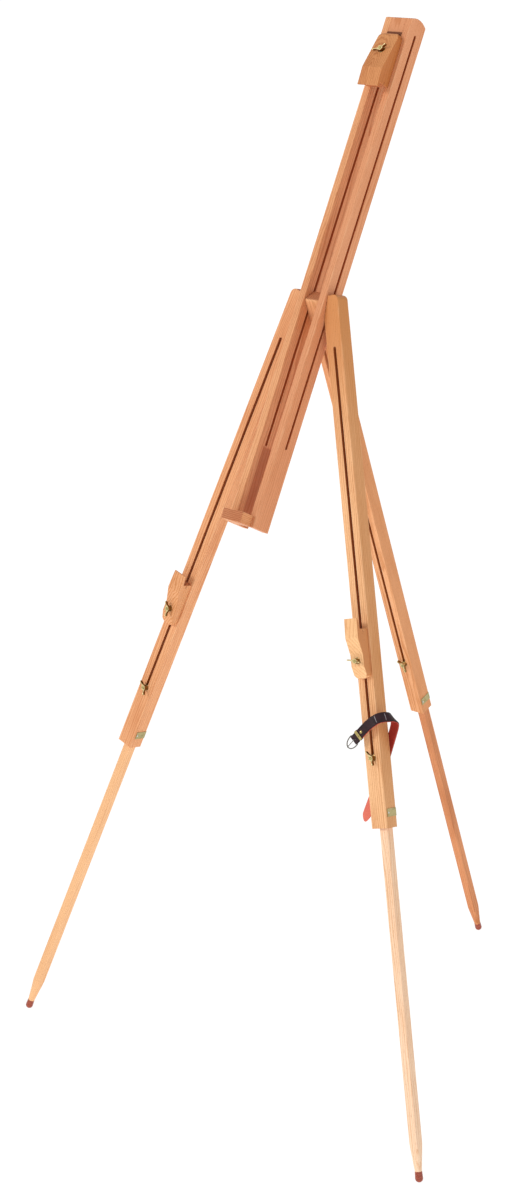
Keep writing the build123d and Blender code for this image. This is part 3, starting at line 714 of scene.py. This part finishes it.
def leather(name, face, deep, edge, grainScale, shine, creasesWithSheen, shade=None):
    material, wire = finishOf(name)
    along = wire.make("ShaderNodeAttribute", {"attribute_name": "along"}, out="Fac")
    sideways = wire.make("ShaderNodeAttribute", {"attribute_name": "sideways"}, out="Fac")
    spot = spotOn(wire)
    pebble = wire.make("ShaderNodeTexVoronoi", {"feature": "DISTANCE_TO_EDGE"},
                       {"Vector": spot, "Scale": grainScale})
    worn = spot.cloud((0.12, 0.12, 0.12), 4.0)
    fine = spot.cloud((1.8, 1.8, 1.8), 3.0)
    rim = abs(sideways).step(*strap["rim"])
    colour = wire.mixed(worn.step(0.35, 0.75), face, deep)
    if shade:
        dark, pale = shade
        # painted shade on the lining where it wraps behind the leg
        behind = along.step(*strap["shadeFrom"]) * (1.0 - along.step(*strap["shadeTo"]))
        colour = wire.mixed(behind * 0.9, colour, dark)
        colour = wire.mixed(along.step(*strap["paleFrom"]) * 0.75, colour, pale)
    colour = wire.mixed(rim * 0.6, colour, edge)
    height = pebble.step(0.0, 0.12) * 0.5 + fine * 0.3
    rough = shine + (fine - 0.5) * 0.14 + worn.step(0.5, 0.8) * 0.12
    # each crease: a real dent, and a painted sheen in pale grey along it
    for at in creasesWithSheen:
        line = 1.0 - abs(along - at + (worn - 0.5) * 3.0).step(0.10, 0.60)
        line = line * (1.0 - abs(sideways).step(4.0, 6.5))
        colour = wire.mixed(line * 0.75, colour, rgb(176, 166, 170))
        height = height - line * 0.8
    sockets = {"Base Color": colour, "Roughness": rough, "Specular IOR Level": 0.22}
    return closeFinish(material, wire, sockets, height, 0.35, 0.15 * mm)


outerRibbon = Ribbon(outerSpots, outerEdges)
innerRibbon = Ribbon([foldSpots[-1]] + routeSpots[1:], routeEdges)
foldLength = outerRibbon.lengths[len(foldSpots) - 1]
creasesWithSheen = [foldLength + d for d in strap["creasesWithSheen"]]
outerHoles = [foldLength + d for d in strap["holes"]]
slit = outerRibbon.lengths[slice(*strap["slitRows"])]
darkLeather = leather("dark_leather", rgb(46, 18, 24), rgb(26, 9, 14), rgb(18, 6, 8), 1.1, 0.44, creasesWithSheen)
# lining colours: the painted shade behind the leg, then the paler tail
redLeather = leather("red_leather", rgb(206, 84, 66), rgb(186, 60, 46), rgb(206, 92, 78), 1.4, 0.6, (),
                     (rgb(150, 40, 30), rgb(232, 126, 106)))
addStrap("strap_outside", strapBand(outerRibbon, outerHoles, 0.0, slit), darkLeather,
         ["carrying_strap"], strap["outer"], 1.0)
addStrap("strap_inside", strapBand(innerRibbon, strap["holes"], strap["liningLower"], ()), redLeather,
         ["strap_lining"], strap["inner"], -1.0)


# buckle with its prong, keeper and rivet
buckle = {
    "long": 9.2,
    "short": 17.6,
    "square": 0.8,
    "bowStep": 7.5,
    "wire": 0.95,
    "prong": 0.62,
    "eye": 1.44,
    "eyeFrom": -60.0,
    "eyeStep": 26.0,
    "arm": ((2.2, 1.6), (7.0, 1.75), (13.0, 1.7), (18.0, 1.5)),
}


def tube(points, radius, closed, segments=14):
    bm = bmesh.new()
    rings = []
    count = len(points)
    for index, point in enumerate(points):
        ahead = points[(index + 1) % count] if closed or index + 1 < count else point
        behind = points[index - 1] if closed or index else point
        turn = (Vector(ahead) - Vector(behind)).to_track_quat("Z", "Y").to_matrix().to_4x4()
        made = bmesh.ops.create_circle(bm, segments=segments, radius=radius,
                                       matrix=Matrix.Translation(point) @ turn)
        rings.append(made["verts"])
    pairs = list(zip(rings, rings[1:])) + ([(rings[-1], rings[0])] if closed else [])
    for first, second in pairs:
        loop = [e for e in bm.edges if set(e.verts) <= set(first) or set(e.verts) <= set(second)]
        bmesh.ops.bridge_loops(bm, edges=loop)
    if not closed:
        bmesh.ops.holes_fill(bm, edges=[e for e in bm.edges if e.is_boundary], sides=0)
    return bm


barAway, barUp = strap["barAway"], strap["middle"]
bow = []
for k in range(25):
    swing = math.radians(-90 + k * buckle["bowStep"])
    reach = buckle["short"] * math.cos(swing) ** buckle["square"]
    bow.append((barAway + reach, buckle["long"] * math.sin(swing), barUp))
bar = [(barAway, buckle["long"] * (1 - k / 4), barUp) for k in range(1, 8)]
eye = []
for k in range(13):
    swing = math.radians(buckle["eyeFrom"] - k * buckle["eyeStep"])
    eye.append((barAway + buckle["eye"] * math.cos(swing), 0.0, barUp + buckle["eye"] * math.sin(swing)))
arm = [(barAway + x, 0.0, barUp + z) for x, z in buckle["arm"]]
endPlace = stickFrames["right"] @ strapEnd
newPiece("buckle_frame_wire", tube(bow + bar, buckle["wire"], True), endPlace, darkSteel, "buckle",
         ["buckle_frame"])
newPiece("buckle_prong_wire", tube(eye + arm, buckle["prong"], False), endPlace, darkSteel, "prong",
         ["buckle_prong"])

keeper = {"at": -10.0, "width": 5.0, "half": 8.9, "low": -1.95, "high": 2.5, "wall": 0.75, "corner": 0.6}


def keeperShape():
    k = keeper
    bm = bmesh.new()
    size = (k["width"], 2 * k["half"], k["high"] - k["low"], 1.0)
    place = Matrix.Translation((k["at"], 0, (k["high"] + k["low"]) / 2))
    bmesh.ops.create_cube(bm, size=1.0, matrix=place @ Matrix.Diagonal(size))
    ends = [f for f in bm.faces if abs(f.normal.x) > 0.9]
    bmesh.ops.inset_region(bm, faces=ends, thickness=k["wall"], use_even_offset=True)
    loops = [e for f in ends for e in f.edges]
    bmesh.ops.delete(bm, geom=ends, context="FACES_ONLY")
    bmesh.ops.bridge_loops(bm, edges=loops)
    corners = [e for e in bm.edges if abs((e.verts[0].co - e.verts[1].co).normalized().x) > 0.9]
    bmesh.ops.bevel(bm, geom=corners, offset=k["corner"], segments=3, profile=0.5, affect="EDGES",
                    material=-1)
    return bm


rivet = {"at": -17.5, "head": 2.6, "rise": 1.1, "burr": -2.0, "shank": 1.25}


def rivetShape():
    r = rivet
    top, under = strap["outer"], -strap["inner"]
    profile = [(0.0, top + r["rise"])] + [(x, top + z) for x, z in domeRows(r["head"], r["rise"])]
    profile += [(r["head"], top), (r["shank"], top), (r["shank"], under), (r["head"], under)]
    profile += [(r["head"], r["burr"]), (0.0, r["burr"])]
    return spun(profile)


newPiece("strap_keeper_loop", keeperShape(), endPlace, oldBrass, "right_leg", ["strap_keeper"])
rivetPlace = endPlace @ Matrix.Translation((rivet["at"] * mm, 0, 0))
newPiece("strap_rivet_dome", rivetShape(), rivetPlace, oldBrass, "right_leg", ["strap_rivet"])
print("strap made, length", round(innerRibbon.length, 1), "mm")


# floor, light and camera
studio = {
    "sky": 0.48,
    "keyStrength": 0.92,
    "keyFrom": (-0.36, -0.82, 0.45),
    "keySize": 16.0,
    "fillStrength": 0.42,
    "fillFrom": (0.86, -0.42, 0.28),
    "fillSize": 70.0,
    "floorSide": 120.0,
    "floorWhite": 0.9,
    "floorLift": 0.8,
    "floorGlow": 0.72,
}


def addFloor():
    bm = bmesh.new()
    bmesh.ops.create_grid(bm, x_segments=4, y_segments=4, size=studio["floorSide"] / 2)
    mesh = bpy.data.meshes.new("floor")
    bm.to_mesh(mesh)
    bm.free()
    floor = bpy.data.objects.new("floor", mesh)
    bpy.context.scene.collection.objects.link(floor)
    material, wire = finishOf("white_floor")
    seen = seenRays(wire)
    plain = wire.make("ShaderNodeBsdfDiffuse", {}, {"Color": (studio["floorWhite"],) * 3 + (1.0,)})
    lift = wire.make("ShaderNodeEmission", {}, {"Color": (1, 1, 1, 1), "Strength": 1.0})
    glow = wire.make("ShaderNodeEmission", {}, {"Color": (1, 1, 1, 1), "Strength": studio["floorGlow"]})
    bounce = wire.make("ShaderNodeAddShader", {}, {0: plain, 1: glow})
    mix = wire.make("ShaderNodeMixShader", {}, {0: seen * studio["floorLift"], 1: bounce, 2: lift})
    wire.make("ShaderNodeOutputMaterial", {}, {"Surface": mix})
    mesh.materials.append(material)


def addWorld():
    world = bpy.data.worlds.new("white_studio")
    world.use_nodes = True
    world.node_tree.nodes.clear()
    wire = Wire(world.node_tree)
    seen = seenRays(wire)
    strength = studio["sky"] + seen * (1.0 - studio["sky"])
    sky = wire.make("ShaderNodeBackground", {}, {"Color": (1, 1, 1, 1), "Strength": strength})
    wire.make("ShaderNodeOutputWorld", {}, {"Surface": sky})
    bpy.context.scene.world = world


def addSun(name, source, strength, size):
    light = bpy.data.lights.new(name, "SUN")
    light.energy = strength
    light.angle = math.radians(size)
    lamp = bpy.data.objects.new(name, light)
    bpy.context.scene.collection.objects.link(lamp)
    lamp.rotation_mode = "QUATERNION"
    lamp.rotation_quaternion = (-Vector(source)).to_track_quat("-Z", "Y")
    lamp.location = Vector(source) * 4


addFloor()
addWorld()
addSun("key", studio["keyFrom"], studio["keyStrength"], studio["keySize"])
addSun("fill", studio["fillFrom"], studio["fillStrength"], studio["fillSize"])

viewpoint = {"azimuth": 39.002, "distance": 3.66663, "depth": -0.12505, "height": 2.02963, "yaw": 1.308,
             "pitch": -18.361, "lens": 45.83, "sensor": 24.0}


def addCamera():
    v = viewpoint
    azimuth, heading, pitch = (math.radians(a) for a in (v["azimuth"], v["azimuth"] + v["yaw"], v["pitch"]))
    data = bpy.data.cameras.new("camera")
    data.sensor_fit = "VERTICAL"
    data.sensor_height = v["sensor"]
    data.lens = v["lens"]
    camera = bpy.data.objects.new("camera", data)
    bpy.context.scene.collection.objects.link(camera)
    east, south = math.sin(azimuth) * v["distance"], math.cos(azimuth) * v["distance"]
    camera.location = (east, v["depth"] - south, v["height"])
    level = math.cos(pitch)
    ahead = Vector((-math.sin(heading) * level, math.cos(heading) * level, math.sin(pitch)))
    camera.rotation_mode = "QUATERNION"
    camera.rotation_quaternion = ahead.to_track_quat("-Z", "Y")
    bpy.context.scene.camera = camera


addCamera()
bpy.context.scene.view_settings.view_transform = "Standard"
print("scene ready")
